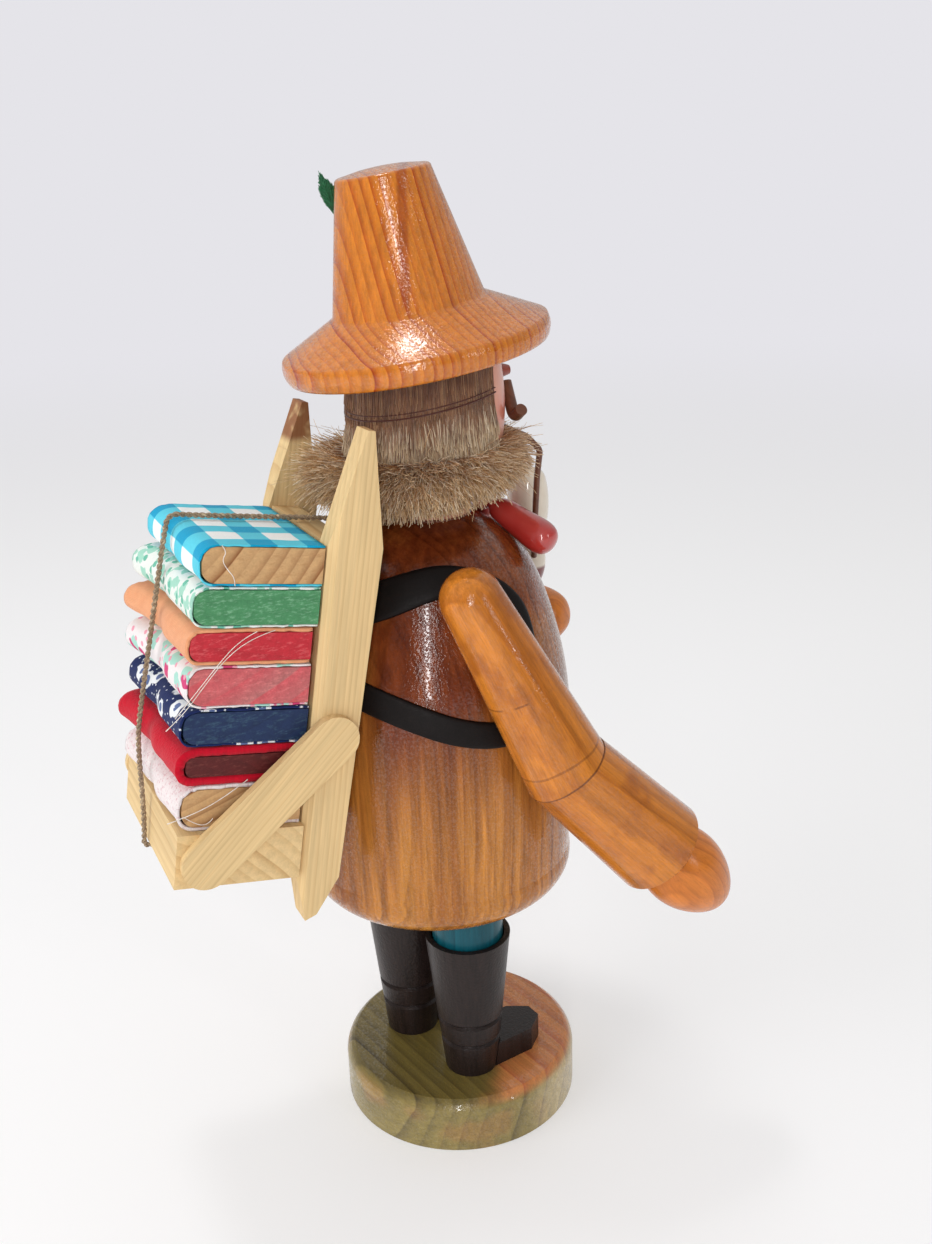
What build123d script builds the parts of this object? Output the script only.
# German incense smoker: a turned wooden cloth pedlar who carries a back frame.
# Millimetres. +Z is up, the figure faces -Y, its right side is -X, its load is on +Y.
# The origin is the middle of the base's underside.
from build123d import *
import math
import os

os.makedirs("parts", exist_ok=True)

RIGHT = -1
LEFT = 1
SIDE_NAMES = {RIGHT: "right", LEFT: "left"}
UP = Vector(0, 0, 1)

# Clearances and overruns used everywhere.
cut_overrun = 2.0
glue_gap = 0.05
seat_gap = 0.1
lift_gap = 0.3
soft_gap = 0.3
nearly_share = 0.999

# Base, a turned disc with a rounded rim.
base_radius = 28.0
base_height = 12.8
base_side_height = 9.1
base_top_radius = 26.0
rim_round_share = 1 / 3

# Stance: the legs stand a little askew on the base.
stance_turn = 17.0
stance_x = -1.95
stance_y = 5.8
leg_half_gap = 10.8
shoe_splay = 9.0

# Boots, with a hollow rim and two turned grooves.
boot_foot_radius = 6.2
boot_rim_radius = 9.85
boot_height = 36.0
boot_groove_heights = [8.5, 14.2]
boot_groove_width = 1.4
boot_groove_depth = 0.7
boot_rim_wall = 1.3
boot_rim_depth = 4.0
boot_dowel_radius = 2.0
boot_dowel_reach = 8.0

# Toe block of each shoe.
toe_width = 10.6
toe_front_width = 4.0
toe_corner_length = 4.5
toe_reach = 18.5
toe_height = 6.0

# Trouser legs, plugged into the hip plate.
trouser_gap = 0.4
trouser_spigot_radius = 4.0
trouser_spigot_length = 5.0

# Coat, a hollow turned shell on the hip plate.
coat_y = 3.4
hem_z = 58.7
hem_radius = 25.5
hem_round_radius = 29.3
hem_round_height = 3.1
coat_low_radius = 30.2
coat_low_height = 9.0
coat_belly_radius = 30.7
coat_high_radius = 30.4
coat_chest_radius = 28.0
coat_shoulder_radius = 22.8
coat_slope_radius = 17.2
coat_neck_radius = 9.7
coat_height = 87.0
coat_belly_share = 0.31
coat_high_share = 0.517
coat_chest_share = 0.69
coat_shoulder_share = 0.862
coat_slope_share = 0.945
coat_belly_height = coat_height * coat_belly_share
coat_high_height = coat_height * coat_high_share
coat_chest_height = coat_height * coat_chest_share
coat_shoulder_height = coat_height * coat_shoulder_share
coat_slope_height = coat_height * coat_slope_share
hem_lean_angle = -90.0
hem_round_lean_angle = -45.0
low_lean_angle = -2.0
high_lean_angle = 2.0
chest_lean_angle = 13.0
shoulder_lean_angle = 28.0
slope_lean_angle = 48.0
neck_lean_angle = 66.0
coat_socket_wall = 7.3
chamber_radius = 19.5
chamber_share = 0.575
chamber_cone_share = 0.713
chamber_height = coat_height * chamber_share
chamber_cone_height = coat_height * chamber_cone_share
smoke_hole_radius = 3.0
neck_socket_depth = 12.0

# Hip plate, the plug under the coat, and the tin plate for the incense cone.
hip_inset = 2.0
hip_thick = 8.0
air_hole_radius = 2.2
air_hole_place = 15.5
tin_radius = 12.0
tin_thick = 0.5
tin_rim_height = 1.4
pin_radius = 0.5
pin_height = 6.0
pin_head_radius = 1.4
pin_head_height = 0.5

# Head, a turned barrel with its neck spigot on the coat's axis.
head_forward = 1.5
neck_radius = 8.0
neck_height = 4.6
jaw_mid_radius = 11.9
jaw_mid_height = 7.0
jaw_radius = 14.6
jaw_height = 11.0
cheek_radius = 15.9
cheek_height = 20.0
brow_radius = 15.2
brow_height = 32.0
crown_height = 42.0
throat_lean_angle = -20.0
jaw_mid_lean_angle = -50.0
jaw_lean_angle = -25.0
brow_lean_angle = 6.0
spigot_radius = 5.0
mouth_height = 18.0
mouth_hole_radius = 1.8
hat_peg_radius = 5.0
hat_peg_length = 6.0

# Hat, tilted back.
hat_tilt = 9.6
hat_back = 2.45
hat_rise = 37.2
brim_radius = 27.7
brim_under_radius = 26.9
brim_band = 4.4
brim_slope_height = 6.1
hat_foot_radius = 15.6
hat_top_radius = 9.6
hat_height = 32.0
hat_dome = 0.8
hat_edge = 0.9
feather_turn = 42.0
feather_height = 25.0
feather_length = 9.2
feather_radius = 1.9
feather_peg_radius = 0.8
feather_peg_length = 3.0
feather_lean = 23.0
feather_lean_turn = 17.0

# Fur: a combed band round the head and a flared beard collar below it.
hair_thick = 1.5
hair_low = 15.1
face_half_angle = 68.0
beard_tilt = 5.0
beard_pivot_height = 9.3
beard_crest = 5.2
beard_bulge_radius = 23.0
beard_bulge_rise = 1.8
beard_outer_radius = 27.2
beard_tip_drop = 1.8
beard_tip_thick = 1.7
beard_floor_drop = 5.4
beard_floor_radius = 12.5

# Nose peg and moustache halves.
nose_radius = 1.9
nose_tip_radius = 1.0
nose_length = 3.4
nose_height = 28.2
nose_seat_gap = 0.35
moustache_radius = 1.3
moustache_root_side = 1.9
moustache_root_height = 26.0
moustache_bend_side = 5.8
moustache_bend_forward = 0.8
moustache_bend_height = 19.0
moustache_tip_side = 9.2
moustache_tip_forward = 2.4
moustache_tip_height = 21.2
moustache_bend_radius = 1.7

# Bow at the neck.
bow_knot_radius = 2.6
bow_knot_front = 13.6
bow_knot_rise = 1.3
bow_side = 16.0
bow_forward = 8.4
bow_drop = 8.2
bow_root_radius = 1.2
bow_lobe_radius = 3.3
bow_lobe_share = 0.5

# Arms: shoulder, elbow and cuff places. Drops are measured down from the coat's top.
arm_clearance = 1.3
arm_shoulder_radius = 6.4
arm_elbow_radius = 9.2
arm_cuff_radius = 10.7
arm_cuff_round = 2.0
shoulder_side = 29.5
shoulder_back = 4.0
shoulder_drop = 10.7
right_elbow_side = 37.0
left_elbow_side = 48.0
right_elbow_forward = 12.9
left_elbow_forward = 12.4
right_elbow_drop = 47.7
left_elbow_drop = 46.2
right_cuff_side = 39.4
left_cuff_side = 25.8
right_cuff_forward = 35.5
left_cuff_forward = 28.6
right_cuff_drop = 71.8
left_cuff_drop = 38.2
shoulder_dowel_radius = 2.5
shoulder_dowel_drop = 15.7
shoulder_dowel_inner = 16.0
hand_peg_radius = 2.6
hand_peg_length = 6.0
hand_wrist_radius = 7.2
hand_radius = 8.2
hand_widest = 12.0
hand_length = 20.3
hand_tip_share = 0.55
hand_tip_length_share = 0.93
hand_wrist_slope_share = 0.5

# Hanging pipe in the left hand.
pipe_bowl_radius = 4.8
pipe_bowl_foot_radius = 3.2
pipe_bowl_height = 14.4
pipe_wall = 1.1
pipe_bore_depth = 9.0
pot_radius = 4.0
pot_neck_radius = 2.6
pot_height = 11.4
pot_foot_height = 3.2
pot_foot_radius = 2.2
lid_height = 2.6
lid_knob_radius = 0.9
pipe_x = 14.4
pipe_forward = 32.5
pipe_drop = 25.6
stem_radius = 0.7
stem_bend_radius = 2.0
stem_route = [
    (9.7, -31.4, -17.2),
    (2.8, -28.0, -6.2),
    (0.9, -27.6, 4.0),
    (0.0, -27.9, 10.0),
    (0.0, -24.6, 13.4),
    (0.0, -17.4, 16.9),
]

# Back frame. Its own y runs to the back and its own z runs up the uprights.
frame_tilt = 9.6
frame_width = 44.0
frame_drop = 65.7
strap_gap = 0.15
strap_thick = 0.7
strap_room = 1.1
upright_thick = 6.0
upright_top = 91.0
upright_shoulder = 68.5
upright_front_high = 10.8
upright_front_low = 8.7
upright_foot = -1.0
upright_point = -10.3
upright_chamfer = 1.6
point_front = 4.6
point_flat = 1.2
tip_front = 6.7
tip_flat = 1.4
shelf_depth = 25.5
shelf_thick = 11.3
crossbar_front = 6.5
crossbar_back = 0.6
crossbar_height = 6.0
brace_width = 10.0
brace_thick = 2.0
right_brace_low_y = 19.7
left_brace_low_y = 20.8
right_brace_low_z = 5.4
left_brace_low_z = 8.2
brace_high_y = -4.2
brace_high_z = 30.0

# Load: seven boards from the shelf upwards, each wrapped in its own cloth.
cloth_names = ["fleece", "felt", "navy", "petal", "peach", "mint", "gingham"]
board_thick = [7.7, 4.1, 6.3, 7.2, 5.5, 6.7, 6.9]
cloth_thick = [0.9, 1.9, 0.75, 0.7, 0.9, 0.7, 0.6]
board_start = [0.6, 0.8, 0.8, 1.1, 1.4, 0.5, 0.4]
board_depth = [24.0, 23.6, 24.5, 23.7, 23.7, 24.4, 23.5]
cloth_bulge = [1.5, 1.8, 1.2, 0.6, 0.2, 0.2, 0.6]
board_near_inset = 1.5
board_far_inset = 6.5
cloth_side_inset = 0.4
board_round_share = 0.4
cloth_round_share = 0.42

# Twine round the load.
twine_radius = 0.75
twine_bend_radius = 1.05
twine_soft_bend_radius = 3.6
twine_slack = 0.1
twine_front_share = 0.65

# Carrying straps, bands that lie on the coat round each shoulder dowel.
strap_width = 5.6
strap_slope_share = 0.85
strap_low_back_drop = 31.0
strap_low_front_drop = 40.6
strap_top_back_drop = 16.0
strap_top_front_drop = 9.1
strap_crest_back = 5.0
strap_back = 24.0
strap_front = -10.5
strap_bend_radius = 6.0
strap_tab = 4.0


def lathe(start, along, radius_dir=(1, 0, 0)):
    """Plane of a turned profile: x is the radius and y runs along the axis from start."""
    along = Vector(along).normalized()
    radius_dir = Vector(radius_dir)
    radius_dir = (radius_dir - along * radius_dir.dot(along)).normalized()
    return Plane(origin=start, x_dir=radius_dir, z_dir=radius_dir.cross(along))


def write(piece, label):
    """Name a finished piece and write its file."""
    piece.part.label = label
    export_step(piece.part, f"parts/{label}.step")


# Base
base_center = Vector(0, 0, 0)
with BuildPart() as base_disc:
    with BuildSketch(lathe(base_center, UP)):
        with BuildLine():
            rim_mid_radius = base_radius - (base_radius - base_top_radius) * rim_round_share
            rim_mid_height = base_height - (base_height - base_side_height) * rim_round_share
            Polyline((0, 0), (base_radius, 0), (base_radius, base_side_height))
            ThreePointArc(
                (base_radius, base_side_height),
                (rim_mid_radius, rim_mid_height),
                (base_top_radius, base_height),
            )
            Polyline((base_top_radius, base_height), (0, base_height), (0, 0))
        make_face()
    revolve(axis=Axis.Z)
    turn = math.radians(stance_turn)
    for side in (RIGHT, LEFT):
        leg_x = stance_x + side * leg_half_gap * math.cos(turn)
        leg_y = stance_y + side * leg_half_gap * math.sin(turn)
        with BuildSketch(Plane.XY.offset(base_height)):
            with Locations((leg_x, leg_y)):
                Circle(boot_dowel_radius + glue_gap)
        extrude(amount=-boot_dowel_reach - glue_gap, mode=Mode.SUBTRACT)
write(base_disc, "base_disc")


# Boots, toe blocks and trouser legs
def leg_place(side, height):
    """Point on a leg's axis at a height above the table."""
    turn = math.radians(stance_turn)
    across = Vector(math.cos(turn), math.sin(turn), 0)
    return Vector(stance_x, stance_y, height) + across * side * leg_half_gap


def boot_radius(height):
    """Outer radius of a boot at a height above its sole."""
    return boot_foot_radius + (boot_rim_radius - boot_foot_radius) * height / boot_height


rim_hole_radius = boot_rim_radius - boot_rim_wall
trouser_radius = rim_hole_radius - trouser_gap
boot_top_z = base_height + boot_height
hip_z = hem_z + hip_inset


def make_boot(side):
    """Turned boot with its grooves, hollow rim and dowel hole."""
    sole = leg_place(side, base_height)
    with BuildPart() as boot:
        with BuildSketch(lathe(sole, UP)):
            with BuildLine():
                Polyline(
                    (0, 0),
                    (boot_foot_radius, 0),
                    (boot_rim_radius, boot_height),
                    (rim_hole_radius, boot_height),
                    (rim_hole_radius, boot_height - boot_rim_depth),
                    (0, boot_height - boot_rim_depth),
                    close=True,
                )
            make_face()
            for height in boot_groove_heights:
                with BuildLine():
                    Polyline(
                        (boot_radius(height) - boot_groove_depth, height),
                        (boot_radius(height) + boot_groove_depth, height - boot_groove_width),
                        (boot_radius(height) + boot_groove_depth, height + boot_groove_width),
                        close=True,
                    )
                make_face(mode=Mode.SUBTRACT)
        revolve(axis=Axis(sole, UP))
        with BuildSketch(Plane(origin=sole, z_dir=UP)):
            Circle(boot_dowel_radius + glue_gap)
        extrude(amount=boot_dowel_reach + glue_gap, mode=Mode.SUBTRACT)
    write(boot, f"{SIDE_NAMES[side]}_boot")


def make_toe(side):
    """Flat-topped toe block, hollowed at the back to sit against the boot."""
    heading = math.radians(stance_turn + side * shoe_splay)
    forward = Vector(math.sin(heading), -math.cos(heading), 0)
    sole = leg_place(side, base_height)
    shoe_plane = Plane(origin=sole, x_dir=forward, z_dir=UP)
    with BuildPart() as toe:
        with BuildSketch(shoe_plane):
            with BuildLine():
                Polyline(
                    (0, -toe_width / 2),
                    (toe_reach - toe_corner_length, -toe_width / 2),
                    (toe_reach, -toe_front_width / 2),
                    (toe_reach, toe_front_width / 2),
                    (toe_reach - toe_corner_length, toe_width / 2),
                    (0, toe_width / 2),
                    close=True,
                )
            make_face()
        extrude(amount=toe_height)
        with BuildSketch(lathe(sole, UP)):
            with BuildLine():
                Polyline(
                    (0, -cut_overrun),
                    (boot_radius(-cut_overrun) + seat_gap, -cut_overrun),
                    (boot_radius(toe_height + cut_overrun) + seat_gap, toe_height + cut_overrun),
                    (0, toe_height + cut_overrun),
                    close=True,
                )
            make_face()
        revolve(axis=Axis(sole, UP), mode=Mode.SUBTRACT)
    write(toe, f"{SIDE_NAMES[side]}_toe_block")


def make_trouser_leg(side):
    """Straight leg from the boot's hollow rim into the hip plate."""
    foot = leg_place(side, boot_top_z - boot_rim_depth)
    leg_length = hip_z - foot.Z
    with BuildPart() as trouser:
        with BuildSketch(Plane(origin=foot, z_dir=UP)):
            Circle(trouser_radius)
        extrude(amount=leg_length)
        with BuildSketch(Plane(origin=foot + UP * leg_length, z_dir=UP)):
            Circle(trouser_spigot_radius)
        extrude(amount=trouser_spigot_length)
    write(trouser, f"{SIDE_NAMES[side]}_trouser_leg")


for side in (RIGHT, LEFT):
    make_boot(side)
    make_toe(side)
    make_trouser_leg(side)

with BuildPart() as boot_dowels:
    for side in (RIGHT, LEFT):
        with BuildSketch(Plane(origin=leg_place(side, base_height - boot_dowel_reach), z_dir=UP)):
            Circle(boot_dowel_radius)
        extrude(amount=2 * boot_dowel_reach)
write(boot_dowels, "boot_dowels")

# Hip plate, tin plate and cone pin
socket_radius = coat_low_radius - coat_socket_wall
hip_radius = socket_radius - lift_gap
hip_top = hip_z + hip_thick
hip_center = Vector(0, coat_y, hip_z)

with BuildPart() as hip_plate:
    with BuildSketch(Plane(origin=hip_center, z_dir=UP)):
        Circle(hip_radius)
        for direction in (-1, 1):
            air_x = -direction * air_hole_place * math.sin(turn)
            air_y = direction * air_hole_place * math.cos(turn)
            with Locations((air_x, air_y)):
                Circle(air_hole_radius, mode=Mode.SUBTRACT)
    extrude(amount=hip_thick)
    for side in (RIGHT, LEFT):
        with BuildSketch(Plane(origin=leg_place(side, hip_z), z_dir=UP)):
            Circle(trouser_spigot_radius + glue_gap)
        extrude(amount=trouser_spigot_length + glue_gap, mode=Mode.SUBTRACT)
write(hip_plate, "hip_plate")

tin_center = Vector(0, coat_y, hip_top)
with BuildPart() as tin_plate:
    with BuildSketch(lathe(tin_center, UP)):
        with BuildLine():
            Polyline(
                (0, 0),
                (tin_radius - tin_rim_height, 0),
                (tin_radius, tin_rim_height),
                (tin_radius - tin_thick, tin_rim_height + tin_thick),
                (tin_radius - tin_rim_height - tin_thick / 2, tin_thick),
                (0, tin_thick),
                close=True,
            )
        make_face()
    revolve(axis=Axis(tin_center, UP))
write(tin_plate, "incense_plate")

pin_foot = tin_center + UP * tin_thick
with BuildPart() as cone_pin:
    with BuildSketch(lathe(pin_foot, UP)):
        with BuildLine():
            Polyline(
                (0, 0),
                (pin_head_radius, 0),
                (pin_head_radius, pin_head_height),
                (pin_radius, pin_head_height),
                (pin_radius, pin_height - 2 * pin_radius),
                (0, pin_height),
                close=True,
            )
        make_face()
    revolve(axis=Axis(pin_foot, UP))
write(cone_pin, "cone_pin")

# Coat
coat_center = Vector(0, coat_y, hem_z)
coat_axis = Axis(coat_center, UP)
coat_top = hem_z + coat_height


def grown(radius, height, lean, extra):
    """Point of a turned outline, moved out by extra along a normal that leans up from level."""
    angle = math.radians(lean)
    return (radius + extra * math.cos(angle), height + extra * math.sin(angle))


def coat_face(extra):
    """Half section of the coat's outside, grown by extra all round."""
    hem = grown(hem_radius, 0, hem_lean_angle, extra)
    hem_round = grown(hem_round_radius, hem_round_height, hem_round_lean_angle, extra)
    low = grown(coat_low_radius, coat_low_height, low_lean_angle, extra)
    belly = grown(coat_belly_radius, coat_belly_height, 0, extra)
    high = grown(coat_high_radius, coat_high_height, high_lean_angle, extra)
    chest = grown(coat_chest_radius, coat_chest_height, chest_lean_angle, extra)
    shoulder = grown(coat_shoulder_radius, coat_shoulder_height, shoulder_lean_angle, extra)
    slope = grown(coat_slope_radius, coat_slope_height, slope_lean_angle, extra)
    neck = grown(coat_neck_radius, coat_height, neck_lean_angle, extra)
    with BuildSketch(mode=Mode.PRIVATE) as section:
        with BuildLine():
            Line((0, hem[1]), hem)
            ThreePointArc(hem, hem_round, low)
            ThreePointArc(low, belly, high)
            ThreePointArc(high, chest, shoulder)
            ThreePointArc(shoulder, slope, neck)
            Polyline(neck, (0, neck[1]), (0, hem[1]))
        make_face()
    return section.sketch


def coat_point(side_out, forward, height):
    """Point given sideways, forwards and upwards from the middle of the coat's hem."""
    return Vector(side_out, coat_y - forward, hem_z + height)


def arm_points(side):
    """Shoulder, elbow and cuff points of one arm."""
    shoulder = coat_point(side * shoulder_side, -shoulder_back, coat_height - shoulder_drop)
    if side == RIGHT:
        elbow = coat_point(-right_elbow_side, right_elbow_forward, coat_height - right_elbow_drop)
        cuff = coat_point(-right_cuff_side, right_cuff_forward, coat_height - right_cuff_drop)
    else:
        elbow = coat_point(left_elbow_side, left_elbow_forward, coat_height - left_elbow_drop)
        cuff = coat_point(left_cuff_side, left_cuff_forward, coat_height - left_cuff_drop)
    return shoulder, elbow, cuff


def dowel_middle(side):
    """Point on the arm's axis that its shoulder dowel reaches."""
    shoulder, elbow, cuff = arm_points(side)
    share = (shoulder_dowel_drop - shoulder_drop) / (shoulder.Z - elbow.Z)
    return shoulder + (elbow - shoulder) * share


def dowel_end(side):
    """Inner end of a shoulder dowel, deep in the coat."""
    return Vector(side * shoulder_dowel_inner, dowel_middle(side).Y, dowel_middle(side).Z)


with BuildPart() as coat:
    with BuildSketch(lathe(coat_center, UP)):
        add(coat_face(0))
        with BuildLine():
            socket_top = hip_inset + hip_thick + seat_gap
            Polyline(
                (0, -cut_overrun),
                (socket_radius, -cut_overrun),
                (socket_radius, socket_top),
                (chamber_radius, socket_top),
                (chamber_radius, chamber_height),
                (smoke_hole_radius, chamber_cone_height),
                (smoke_hole_radius, coat_height - neck_socket_depth),
                (spigot_radius + glue_gap, coat_height - neck_socket_depth),
                (spigot_radius + glue_gap, coat_height + cut_overrun),
                (0, coat_height + cut_overrun),
                close=True,
            )
        make_face(mode=Mode.SUBTRACT)
    revolve(axis=coat_axis)
    for side in (RIGHT, LEFT):
        with BuildSketch(Plane(origin=dowel_end(side), z_dir=(side, 0, 0))):
            Circle(shoulder_dowel_radius + glue_gap)
        extrude(amount=coat_belly_radius, mode=Mode.SUBTRACT)
write(coat, "coat")

# Thin air between the coat and what is glued on it.
with BuildPart() as coat_gap:
    with BuildSketch(lathe(coat_center, UP)):
        add(coat_face(strap_gap))
    revolve(axis=coat_axis)

# Room that the straps need between the coat and what lies against it.
with BuildPart() as coat_room:
    with BuildSketch(lathe(coat_center, UP)):
        add(coat_face(arm_clearance))
    revolve(axis=coat_axis)


# Arms and hands
def mitre_plane(side):
    """Glued elbow joint: the plane that halves the arm's bend."""
    shoulder, elbow, cuff = arm_points(side)
    upper = (elbow - shoulder).normalized()
    fore = (cuff - elbow).normalized()
    return Plane(origin=elbow, z_dir=upper + fore)


def make_upper_arm(side):
    """Tapered upper arm with a round shoulder, cut to the coat and mitred at the elbow."""
    shoulder, elbow, cuff = arm_points(side)
    along = elbow - shoulder
    length = along.length
    growth = (arm_elbow_radius - arm_shoulder_radius) / length
    long_length = length + arm_elbow_radius
    with BuildPart() as upper_arm:
        with BuildSketch(lathe(shoulder, along)):
            with BuildLine():
                round_share = math.sqrt(2) / 2
                ThreePointArc(
                    (0, -arm_shoulder_radius),
                    (arm_shoulder_radius * round_share, -arm_shoulder_radius * round_share),
                    (arm_shoulder_radius, 0),
                )
                Polyline(
                    (arm_shoulder_radius, 0),
                    (arm_shoulder_radius + growth * long_length, long_length),
                    (0, long_length),
                    (0, -arm_shoulder_radius),
                )
            make_face()
        revolve(axis=Axis(shoulder, along))
        split(bisect_by=mitre_plane(side), keep=Keep.BOTTOM)
        add(coat_room.part, mode=Mode.SUBTRACT)
        with BuildSketch(Plane(origin=dowel_end(side), z_dir=(side, 0, 0))):
            Circle(shoulder_dowel_radius + glue_gap)
        dowel_length = abs(dowel_middle(side).X) - shoulder_dowel_inner
        extrude(amount=dowel_length + glue_gap, mode=Mode.SUBTRACT)
    write(upper_arm, f"{SIDE_NAMES[side]}_upper_arm")


def make_forearm(side):
    """Sleeve from the mitred elbow to the rounded cuff, with the hand's peg hole."""
    shoulder, elbow, cuff = arm_points(side)
    along = cuff - elbow
    length = along.length
    growth = (arm_cuff_radius - arm_elbow_radius) / length
    with BuildPart() as forearm:
        with BuildSketch(lathe(elbow, along)):
            with BuildLine():
                Polyline(
                    (0, -arm_elbow_radius),
                    (arm_elbow_radius - growth * arm_elbow_radius, -arm_elbow_radius),
                    (arm_cuff_radius, length - arm_cuff_round),
                )
                Line((arm_cuff_radius, length - arm_cuff_round),
                     (arm_cuff_radius - arm_cuff_round, length))
                Polyline(
                    (arm_cuff_radius - arm_cuff_round, length),
                    (hand_peg_radius + glue_gap, length),
                    (hand_peg_radius + glue_gap, length - hand_peg_length - glue_gap),
                    (0, length - hand_peg_length - glue_gap),
                    (0, -arm_elbow_radius),
                )
            make_face()
        revolve(axis=Axis(elbow, along))
        split(bisect_by=mitre_plane(side), keep=Keep.TOP)
        add(coat_room.part, mode=Mode.SUBTRACT)
    write(forearm, f"{SIDE_NAMES[side]}_forearm")


def make_hand(side):
    """Turned mitten hand with its peg in the cuff."""
    shoulder, elbow, cuff = arm_points(side)
    along = cuff - elbow
    with BuildPart() as hand:
        with BuildSketch(lathe(cuff, along)):
            with BuildLine():
                Polyline(
                    (0, -hand_peg_length),
                    (hand_peg_radius, -hand_peg_length),
                    (hand_peg_radius, glue_gap),
                    (hand_wrist_radius, glue_gap),
                )
                Spline(
                    (hand_wrist_radius, glue_gap),
                    (hand_radius, hand_widest),
                    (hand_radius * hand_tip_share, hand_length * hand_tip_length_share),
                    (0, hand_length),
                    tangents=[(hand_wrist_slope_share, 1), (-1, 0)],
                )
                Line((0, hand_length), (0, -hand_peg_length))
            make_face()
        revolve(axis=Axis(cuff, along))
        add(coat_room.part, mode=Mode.SUBTRACT)
        if side == LEFT:
            add(pipe_peg_room.part, mode=Mode.SUBTRACT)
    write(hand, f"{SIDE_NAMES[side]}_hand")


# Pipe, standing in the left hand
pipe_foot = coat_point(pipe_x, pipe_forward, coat_height - pipe_drop)
bowl_foot = pipe_foot + UP * pot_height
bowl_top = bowl_foot + UP * pipe_bowl_height

with BuildPart() as pipe_peg_room:
    with BuildSketch(Plane(origin=pipe_foot - UP * hand_radius, z_dir=UP)):
        Circle(pot_foot_radius + glue_gap)
    extrude(amount=hand_radius + pot_foot_height)

with BuildPart() as sap_pot:
    with BuildSketch(lathe(pipe_foot, UP)):
        with BuildLine():
            Polyline((0, -pot_foot_height), (pot_foot_radius, -pot_foot_height), (pot_foot_radius, 0))
            ThreePointArc(
                (pot_foot_radius, 0),
                (pot_radius, pot_foot_height + pot_foot_radius),
                (pot_neck_radius, pot_height),
            )
            Polyline((pot_neck_radius, pot_height), (0, pot_height), (0, -pot_foot_height))
        make_face()
    revolve(axis=Axis(pipe_foot, UP))
write(sap_pot, "pipe_sap_pot")

with BuildPart() as pipe_bowl:
    with BuildSketch(lathe(bowl_foot, UP)):
        with BuildLine():
            Line((0, 0), (pipe_bowl_foot_radius, 0))
            ThreePointArc(
                (pipe_bowl_foot_radius, 0),
                (pipe_bowl_radius, pipe_bowl_height / 2),
                (pipe_bowl_radius - pipe_wall / 2, pipe_bowl_height),
            )
            Polyline(
                (pipe_bowl_radius - pipe_wall / 2, pipe_bowl_height),
                (pipe_bowl_foot_radius, pipe_bowl_height),
                (pipe_bowl_foot_radius - pipe_wall, pipe_bowl_height - pipe_bore_depth),
                (0, pipe_bowl_height - pipe_bore_depth),
                (0, 0),
            )
        make_face()
    revolve(axis=Axis(bowl_foot, UP))
write(pipe_bowl, "pipe_bowl")

with BuildPart() as pipe_lid:
    with BuildSketch(lathe(bowl_top, UP)):
        with BuildLine():
            lid_radius = pipe_bowl_radius - pipe_wall / 2
            Line((0, 0), (lid_radius, 0))
            ThreePointArc(
                (lid_radius, 0),
                (lid_radius * math.sqrt(3) / 2, lid_height / 2),
                (lid_knob_radius, lid_height),
            )
            Polyline((lid_knob_radius, lid_height), (0, lid_height), (0, 0))
        make_face()
        with Locations((0, lid_height + lid_knob_radius / 2)):
            Circle(lid_knob_radius)
        with Locations((-lid_radius, 0)):
            Rectangle(2 * lid_radius, 4 * lid_radius, mode=Mode.SUBTRACT)
    revolve(axis=Axis(bowl_top, UP))
write(pipe_lid, "pipe_lid")

for side in (RIGHT, LEFT):
    make_upper_arm(side)
    make_forearm(side)
    make_hand(side)

with BuildPart() as shoulder_dowels:
    for side in (RIGHT, LEFT):
        with BuildSketch(Plane(origin=dowel_end(side), z_dir=(side, 0, 0))):
            Circle(shoulder_dowel_radius)
        extrude(amount=abs(dowel_middle(side).X) - shoulder_dowel_inner)
write(shoulder_dowels, "shoulder_dowels")

# Head
head_y = coat_y - head_forward
head_foot = Vector(0, head_y, coat_top)
head_axis = Axis(head_foot, UP)
tilt = math.radians(hat_tilt)
hat_up = Vector(0, math.sin(tilt), math.cos(tilt))
hat_center = Vector(0, head_y + hat_back, coat_top + hat_rise)
hat_floor = Plane(origin=hat_center - hat_up * brim_band, x_dir=(1, 0, 0), z_dir=hat_up)


def cheek_front(height):
    """Front of the head at a height above its foot, near the widest part."""
    drop = (height - cheek_height) / (brow_height - cheek_height)
    return cheek_radius - (cheek_radius - brow_radius) * max(drop, 0) ** 2


def head_face(extra):
    """Half section of the turned head from its neck to its crown, grown by extra."""
    neck_top = grown(neck_radius, neck_height, throat_lean_angle, extra)
    jaw_middle = grown(jaw_mid_radius, jaw_mid_height, jaw_mid_lean_angle, extra)
    jaw = grown(jaw_radius, jaw_height, jaw_lean_angle, extra)
    cheek = grown(cheek_radius, cheek_height, 0, extra)
    brow = grown(brow_radius, brow_height, brow_lean_angle, extra)
    with BuildSketch(mode=Mode.PRIVATE) as section:
        with BuildLine():
            Polyline((0, 0), (neck_top[0], 0), neck_top)
            ThreePointArc(neck_top, jaw_middle, jaw)
            ThreePointArc(jaw, cheek, brow)
            Polyline(brow, (neck_radius, crown_height), (0, crown_height), (0, 0))
        make_face()
    return section.sketch


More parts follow.
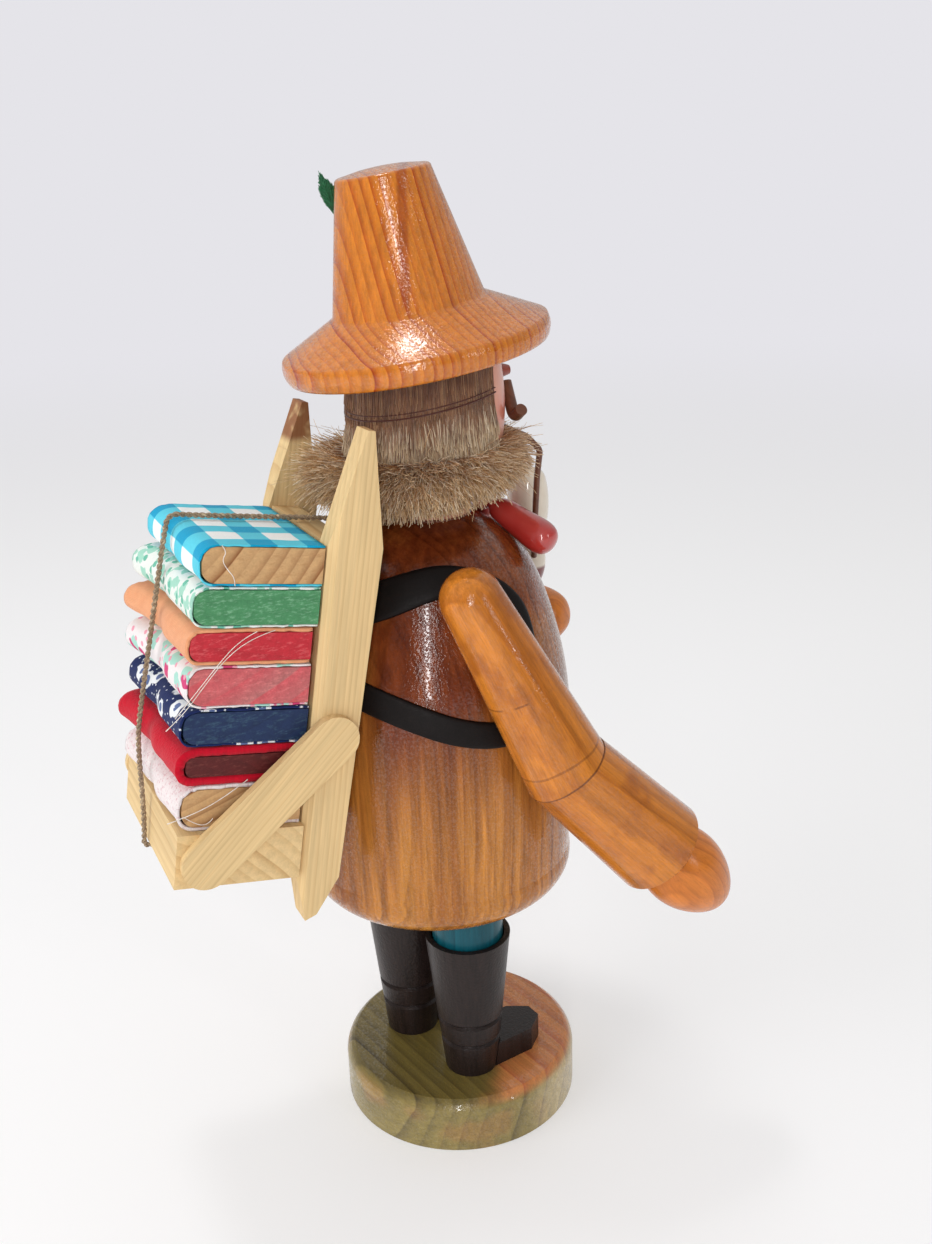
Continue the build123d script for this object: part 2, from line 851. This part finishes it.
with BuildPart() as head:
    with BuildSketch(lathe(head_foot, UP)):
        add(head_face(0))
    revolve(axis=head_axis)
    split(bisect_by=hat_floor.offset(-seat_gap), keep=Keep.BOTTOM)
    with BuildSketch(hat_floor.offset(-brim_band)):
        Circle(hat_peg_radius)
    extrude(amount=brim_band + hat_peg_length)
    spigot_floor = Vector(0, coat_y, coat_top - neck_socket_depth + seat_gap)
    with BuildSketch(Plane(origin=spigot_floor, z_dir=UP)):
        Circle(spigot_radius)
    extrude(amount=neck_socket_depth + neck_height)
    with BuildSketch(Plane(origin=spigot_floor, z_dir=UP)):
        Circle(smoke_hole_radius)
    extrude(amount=neck_socket_depth + mouth_height, mode=Mode.SUBTRACT)
    with BuildSketch(Plane(origin=(0, coat_y, coat_top + mouth_height), z_dir=(0, -1, 0))):
        Circle(mouth_hole_radius)
    extrude(amount=2 * cheek_radius, mode=Mode.SUBTRACT)
    nose_seat = Vector(0, head_y, coat_top + nose_height)
    with BuildSketch(Plane(origin=nose_seat, z_dir=(0, -1, 0))):
        Circle(nose_tip_radius + glue_gap)
    extrude(amount=2 * cheek_radius, mode=Mode.SUBTRACT)
write(head, "head")

# Hat and feather
with BuildPart() as hat:
    with BuildSketch(lathe(hat_center, hat_up)):
        with BuildLine():
            Line((hat_peg_radius + glue_gap, -brim_band), (brim_under_radius, -brim_band))
            ThreePointArc(
                (brim_under_radius, -brim_band),
                (brim_radius, -brim_band / 2),
                (brim_radius - (brim_radius - brim_under_radius) / 2, 0),
            )
            Polyline(
                (brim_radius - (brim_radius - brim_under_radius) / 2, 0),
                (hat_foot_radius, brim_slope_height),
                (hat_top_radius, hat_height - hat_edge),
                (hat_top_radius - hat_edge, hat_height),
            )
            Polyline(
                (hat_top_radius - hat_edge, hat_height),
                (0, hat_height + hat_dome),
                (0, hat_peg_length + glue_gap - brim_band),
                (hat_peg_radius + glue_gap, hat_peg_length + glue_gap - brim_band),
                (hat_peg_radius + glue_gap, -brim_band),
            )
        make_face()
    revolve(axis=Axis(hat_center, hat_up))
    feather_angle = math.radians(feather_turn)
    crown_share = (feather_height - brim_slope_height) / (hat_height - brim_slope_height)
    crown_radius = hat_foot_radius + (hat_top_radius - hat_foot_radius) * crown_share
    hat_back_dir = Vector(0, math.cos(tilt), -math.sin(tilt))
    feather_out = Vector(1, 0, 0) * math.cos(feather_angle) + hat_back_dir * math.sin(feather_angle)
    feather_root = hat_center + hat_up * feather_height + feather_out * crown_radius
    lean = math.radians(feather_lean)
    lean_turn = math.radians(feather_lean_turn)
    lean_out = Vector(1, 0, 0) * math.cos(lean_turn) + hat_back_dir * math.sin(lean_turn)
    feather_dir = hat_up * math.cos(lean) + lean_out * math.sin(lean)
    with BuildSketch(Plane(origin=feather_root + feather_dir * cut_overrun, z_dir=feather_dir)):
        Circle(feather_peg_radius + glue_gap)
    extrude(amount=-feather_peg_length - cut_overrun - glue_gap, mode=Mode.SUBTRACT)
write(hat, "hat")

with BuildPart() as feather:
    with BuildSketch(lathe(feather_root, feather_dir)):
        with BuildLine():
            feather_start = feather_peg_radius * 2
            Polyline(
                (0, -feather_peg_length),
                (feather_peg_radius, -feather_peg_length),
                (feather_peg_radius, feather_start),
                (feather_radius, feather_start + feather_radius),
                (feather_peg_radius / 2, feather_length),
                (0, feather_length),
                close=True,
            )
        make_face()
    revolve(axis=Axis(feather_root, feather_dir))
write(feather, "feather")

# Hair band and beard
hair_inner = cheek_radius + seat_gap
hair_outer = hair_inner + hair_thick
face_edge = math.radians(90 - face_half_angle)
with BuildPart() as hair_band:
    with BuildSketch(lathe(head_foot, UP, (math.cos(face_edge), -math.sin(face_edge), 0))):
        with BuildLine():
            Polyline(
                (hair_inner, hair_low),
                (hair_outer, hair_low),
                (hair_outer, crown_height),
                (hair_inner, crown_height),
                close=True,
            )
        make_face()
    revolve(axis=head_axis, revolution_arc=360 - 2 * face_half_angle)
    split(bisect_by=hat_floor.offset(-soft_gap), keep=Keep.BOTTOM)
write(hair_band, "hair_band")

# Room that the fur leaves round the head.
with BuildPart() as head_room:
    with BuildSketch(lathe(head_foot, UP)):
        add(head_face(soft_gap))
    revolve(axis=head_axis)

# Stem: a twisted rod from the sap pot up over the beard into the mouth.
def stem_rod(radius, skipped):
    """Round rod along the stem's route, without the runs that are skipped at its start."""
    points = [coat_point(0, 0, coat_height) + Vector(*place) for place in stem_route[skipped:]]
    with BuildPart() as rod:
        with BuildLine() as route:
            FilletPolyline(*points, radius=stem_bend_radius)
        with BuildSketch(Plane(origin=route.line @ 0, z_dir=route.line % 0)):
            Circle(radius)
        sweep(path=route.line)
    return rod


stem = stem_rod(stem_radius, 0)
write(stem, "pipe_stem")
stem_room = stem_rod(stem_radius + soft_gap, 2)

# Nose and moustache
nose_root = Vector(0, head_y - cheek_front(nose_height), coat_top + nose_height)
with BuildPart() as nose:
    with BuildSketch(lathe(nose_root, (0, -1, 0))):
        with BuildLine():
            Polyline(
                (0, -nose_length),
                (nose_tip_radius, -nose_length),
                (nose_tip_radius, nose_seat_gap),
                (nose_radius, nose_seat_gap),
                (nose_tip_radius, nose_length),
                (0, nose_length + nose_tip_radius / 2),
                close=True,
            )
        make_face()
    revolve(axis=Axis(nose_root, (0, -1, 0)))
write(nose, "nose")


def moustache_point(side, side_out, forward, height):
    """Point before the face, given from the cheek's surface at that side."""
    reach = cheek_radius + moustache_radius + seat_gap
    depth = math.sqrt(reach**2 - side_out**2) + forward
    return Vector(side * side_out, head_y - depth, coat_top + height)


with BuildPart() as moustache:
    for side in (RIGHT, LEFT):
        points = [
            moustache_point(side, moustache_root_side, 0, moustache_root_height),
            moustache_point(side, moustache_bend_side, moustache_bend_forward, moustache_bend_height),
            moustache_point(side, moustache_tip_side, moustache_tip_forward, moustache_tip_height),
        ]
        with BuildLine() as curl:
            FilletPolyline(*points, radius=moustache_bend_radius)
        with BuildSketch(Plane(origin=curl.line @ 0, z_dir=curl.line % 0)):
            Circle(moustache_radius)
        sweep(path=curl.line)
write(moustache, "moustache")

# Bow
bow_center = coat_point(0, bow_knot_front, coat_height + bow_knot_rise)
with BuildPart() as bow_knot:
    with BuildSketch(lathe(bow_center, UP)):
        with BuildLine():
            ThreePointArc((0, -bow_knot_radius), (bow_knot_radius, 0), (0, bow_knot_radius))
            Line((0, bow_knot_radius), (0, -bow_knot_radius))
        make_face()
    revolve(axis=Axis(bow_center, UP))
write(bow_knot, "bow_knot")


def make_bow_lobe(side):
    """Teardrop lobe from the knot out over the chest."""
    along = Vector(side * bow_side, -bow_forward, -bow_drop)
    length = along.length
    start = bow_center + along.normalized() * (bow_knot_radius + glue_gap)
    length = length - bow_knot_radius
    with BuildPart() as lobe:
        with BuildSketch(lathe(start, along, UP)):
            with BuildLine():
                Line((0, 0), (bow_root_radius, 0))
                Spline(
                    (bow_root_radius, 0),
                    (bow_lobe_radius, length * bow_lobe_share),
                    (0, length),
                    tangents=[(1, 1), (-1, 0)],
                )
                Line((0, length), (0, 0))
            make_face()
        revolve(axis=Axis(start, along))
        add(coat_gap.part, mode=Mode.SUBTRACT)
    write(lobe, f"{SIDE_NAMES[side]}_bow_lobe")


for side in (RIGHT, LEFT):
    make_bow_lobe(side)

# Back frame: its place follows from where the uprights lean on the coat.
lean_angle = math.radians(frame_tilt)
back_dir = Vector(0, math.cos(lean_angle), math.sin(lean_angle))
up_dir = Vector(0, -math.sin(lean_angle), math.cos(lean_angle))


def upright_front(height):
    """Depth of an upright's front edge in front of its back at a height."""
    share = (height - upright_foot) / (upright_shoulder - upright_foot)
    return upright_front_low + (upright_front_high - upright_front_low) * share


frame_rise = coat_height - frame_drop
lean_guess = (coat_chest_height - frame_rise) / math.cos(lean_angle)
lean_front = upright_front(lean_guess)
lean_height = lean_guess + lean_front * math.tan(lean_angle)
inner_side = frame_width / 2 - upright_thick
lean_radius = coat_chest_radius + strap_room
upright_contact = math.sqrt(lean_radius**2 - inner_side**2) + lean_front * math.cos(lean_angle)
twine_front = twine_front_share * crossbar_front + 2 * twine_radius
twine_contact = coat_chest_radius + soft_gap + twine_front * math.cos(lean_angle)
lean_back = max(upright_contact, twine_contact)
frame_y = coat_y + lean_back + lean_height * math.sin(lean_angle)
frame_z = hem_z + frame_rise


def side_plane(x):
    """Plane across the frame: its x runs to the back and its y up the uprights."""
    return Plane(origin=(x, frame_y, frame_z), x_dir=back_dir, z_dir=(1, 0, 0))


def make_upright(side):
    """Picket-pointed upright with its outer back edge chamfered."""
    outer = frame_width / 2
    start = -outer if side == RIGHT else outer - upright_thick
    with BuildPart() as upright:
        with BuildSketch(side_plane(start)):
            with BuildLine():
                Polyline(
                    (0, upright_foot),
                    (0, upright_shoulder),
                    (-tip_front + tip_flat, upright_top),
                    (-tip_front, upright_top),
                    (-upright_front_high, upright_shoulder),
                    (-upright_front_low, upright_foot),
                    (-point_front, upright_point + point_flat),
                    (-point_front + point_flat * 2, upright_point),
                    close=True,
                )
            make_face()
        extrude(amount=upright_thick)
        upright_edges = upright.edges().filter_by(
            lambda edge: abs(edge.tangent_at(0).dot(up_dir)) > nearly_share
        )
        back_edges = upright_edges.sort_by(lambda edge: edge.center().dot(back_dir))[-2:]
        chamfer(back_edges.sort_by(Axis.X)[0 if side == RIGHT else -1], length=upright_chamfer)
    write(upright, f"{SIDE_NAMES[side]}_upright")


def make_brace(side):
    """Round-ended stick from the shelf's end up to the upright."""
    if side == RIGHT:
        start = -frame_width / 2 - brace_thick - glue_gap
        low = Vector(right_brace_low_y, right_brace_low_z)
    else:
        start = frame_width / 2 + glue_gap
        low = Vector(left_brace_low_y, left_brace_low_z)
    high = Vector(brace_high_y, brace_high_z)
    with BuildPart() as brace:
        with BuildSketch(side_plane(start)):
            with Locations((low + high) / 2):
                SlotCenterToCenter(
                    (high - low).length,
                    brace_width,
                    rotation=math.degrees(math.atan2(high.Y - low.Y, high.X - low.X)),
                )
        extrude(amount=brace_thick)
    write(brace, f"{SIDE_NAMES[side]}_brace")


for side in (RIGHT, LEFT):
    make_upright(side)
    make_brace(side)

# Beard, a flared collar of fur between the head and the uprights
beard_lean = math.radians(beard_tilt)
beard_up = Vector(0, math.sin(beard_lean), math.cos(beard_lean))
beard_center = coat_point(0, 0, coat_height + beard_pivot_height)
with BuildPart() as beard:
    with BuildSketch(lathe(beard_center, beard_up)):
        with BuildLine():
            Polyline((0, -beard_floor_drop), (0, beard_crest), (hair_outer, beard_crest))
            ThreePointArc(
                (hair_outer, beard_crest),
                (beard_bulge_radius, beard_bulge_rise),
                (beard_outer_radius, -beard_tip_drop),
            )
            Polyline(
                (beard_outer_radius, -beard_tip_drop),
                (beard_outer_radius, -beard_tip_drop - beard_tip_thick),
                (beard_floor_radius, -beard_floor_drop),
                (0, -beard_floor_drop),
            )
        make_face()
    revolve(axis=Axis(beard_center, beard_up))
    add(head_room.part, mode=Mode.SUBTRACT)
    add(stem_room.part, mode=Mode.SUBTRACT)
    for side in (RIGHT, LEFT):
        with BuildSketch(side_plane(side * (inner_side - soft_gap))):
            with BuildLine():
                Polyline(
                    (-upright_front_high - soft_gap, upright_foot),
                    (upright_top, upright_foot),
                    (upright_top, upright_top),
                    (-upright_front_high - soft_gap, upright_top),
                    close=True,
                )
            make_face()
        extrude(amount=side * frame_width, mode=Mode.SUBTRACT)
    face_space_floor = head_foot + UP * (hair_low - soft_gap)
    with BuildSketch(Plane(origin=face_space_floor, z_dir=UP)):
        Circle(hair_outer)
    extrude(amount=beard_outer_radius, mode=Mode.SUBTRACT)
write(beard, "beard")

# Shelf
with BuildPart() as shelf:
    with BuildSketch(side_plane(-frame_width / 2)):
        with BuildLine():
            Polyline(
                (glue_gap, 0),
                (shelf_depth, 0),
                (shelf_depth, shelf_thick),
                (glue_gap, shelf_thick),
                close=True,
            )
        make_face()
    extrude(amount=frame_width)
write(shelf, "shelf")

# Load
board_bottom = []
level = shelf_thick
for index in range(len(cloth_names)):
    level += cloth_thick[index]
    board_bottom.append(level)
    level += board_thick[index] + cloth_thick[index]
load_top = level
load_far = frame_width / 2 - board_far_inset
load_near = -frame_width / 2 + board_near_inset


def block_face(front, back, low, high, radius):
    """Section of a board or its cloth, with the two back corners rounded."""
    with BuildSketch(mode=Mode.PRIVATE) as section:
        with BuildLine():
            Polyline((front, low), (back, low), (back, high), (front, high), close=True)
        make_face()
        fillet(section.vertices().sort_by(Axis.X)[-2:], radius=radius)
    return section.sketch


def make_board(index):
    """Board with its back edges rounded."""
    low = board_bottom[index]
    front = board_start[index]
    thick = board_thick[index]
    with BuildPart() as board:
        with BuildSketch(side_plane(load_near)):
            add(block_face(front, front + board_depth[index], low, low + thick, thick * board_round_share))
        extrude(amount=load_far - load_near)
    write(board, f"{cloth_names[index]}_board")


def make_cloth(index):
    """Cloth wrapped over, behind and under its board."""
    front = board_start[index]
    back = front + board_depth[index] + glue_gap
    low = board_bottom[index] - glue_gap
    high = board_bottom[index] + board_thick[index] + glue_gap
    layer = cloth_thick[index] - 2 * glue_gap
    outer_radius = (high - low + 2 * layer) * cloth_round_share
    inner_radius = board_thick[index] * board_round_share
    with BuildPart() as cloth:
        with BuildSketch(side_plane(load_near + cloth_side_inset)):
            add(block_face(front, back + layer + cloth_bulge[index], low - layer, high + layer, outer_radius))
            add(block_face(front - cut_overrun, back, low, high, inner_radius), mode=Mode.SUBTRACT)
        extrude(amount=load_far - load_near - 2 * cloth_side_inset)
    write(cloth, f"{cloth_names[index]}_cloth")


for index in range(len(cloth_names)):
    make_board(index)
    make_cloth(index)

with BuildPart() as crossbar:
    with BuildSketch(side_plane(-inner_side + glue_gap)):
        with BuildLine():
            Polyline(
                (-crossbar_front, load_top - crossbar_height),
                (-crossbar_back, load_top - crossbar_height),
                (-crossbar_back, load_top),
                (-crossbar_front, load_top),
                close=True,
            )
        make_face()
    extrude(amount=2 * inner_side - 2 * glue_gap)
write(crossbar, "top_crossbar")

# Twine, pulled tight round the load and the crossbar in the middle of the frame.
twine_reach = twine_radius + twine_slack
top_back = board_start[-1] + board_depth[-1] + cloth_thick[-1] + cloth_bulge[-1]
felt_back = board_start[1] + board_depth[1] + cloth_thick[1] + cloth_bulge[1]
felt_middle = board_bottom[1] + board_thick[1] / 2
twine_points = [
    (-crossbar_front - twine_reach * 2, load_top + twine_reach),
    (top_back + twine_reach, load_top + twine_reach),
    (felt_back + twine_reach, felt_middle),
    (shelf_depth + twine_reach, -twine_reach),
    (-twine_reach, -twine_reach),
]
tight = twine_bend_radius
loose = twine_soft_bend_radius
twine_radii = [tight, loose, 2 * loose, tight, tight]
with BuildPart() as twine:
    with BuildLine(side_plane(0)) as loop:
        FilletPolyline(*twine_points, radius=twine_radii, close=True)
    with BuildSketch(Plane(origin=loop.line @ 0, z_dir=loop.line % 0)):
        Circle(twine_radius)
    sweep(path=loop.line)
write(twine, "twine")


# Straps
with BuildPart() as strap_skin:
    with BuildSketch(lathe(coat_center, UP)):
        add(coat_face(strap_gap + strap_thick))
    revolve(axis=coat_axis)


def make_strap(side):
    """Band on the coat: from the upright over the shoulder, round the arm and back below."""
    band_plane = Plane(origin=coat_center + Vector(side * (inner_side - strap_thick), 0, 0),
                       x_dir=(0, 1, 0), z_dir=(1, 0, 0))
    low_back = coat_height - strap_low_back_drop
    low_front = coat_height - strap_low_front_drop
    top_back = coat_height - strap_top_back_drop
    top_front = coat_height - strap_top_front_drop
    front_middle = (strap_front, (low_front + top_front) / 2)
    with BuildPart() as strap:
        with BuildSketch(band_plane):
            with BuildLine():
                FilletPolyline(
                    (strap_back, low_back),
                    (strap_crest_back, low_front + strap_width / 2),
                    (strap_front / 2, low_front),
                    (strap_front, low_front + strap_width),
                    front_middle,
                    radius=strap_bend_radius,
                )
            trace(line_width=strap_width)
            with BuildLine():
                FilletPolyline(
                    (strap_back, top_back),
                    (strap_crest_back, top_front),
                    (strap_front / 2, top_front - strap_width / 2),
                    (strap_front, top_front - 2 * strap_width),
                    front_middle,
                    radius=strap_bend_radius,
                )
            trace(line_width=strap_width * strap_slope_share)
        extrude(amount=side * 2 * coat_belly_radius)
        add(strap_skin.part, mode=Mode.INTERSECT)
        for height in (low_back, top_back):
            tab_back = strap_back + strap_tab
            with BuildSketch(band_plane):
                with BuildLine():
                    Polyline(
                        (0, height - strap_width / 2),
                        (tab_back, height - strap_width / 2),
                        (tab_back, height + strap_width / 2),
                        (0, height + strap_width / 2),
                        close=True,
                    )
                make_face()
            extrude(amount=side * (strap_thick - glue_gap))
        add(coat_gap.part, mode=Mode.SUBTRACT)
    write(strap, f"{SIDE_NAMES[side]}_strap")


for side in (RIGHT, LEFT):
    make_strap(side)
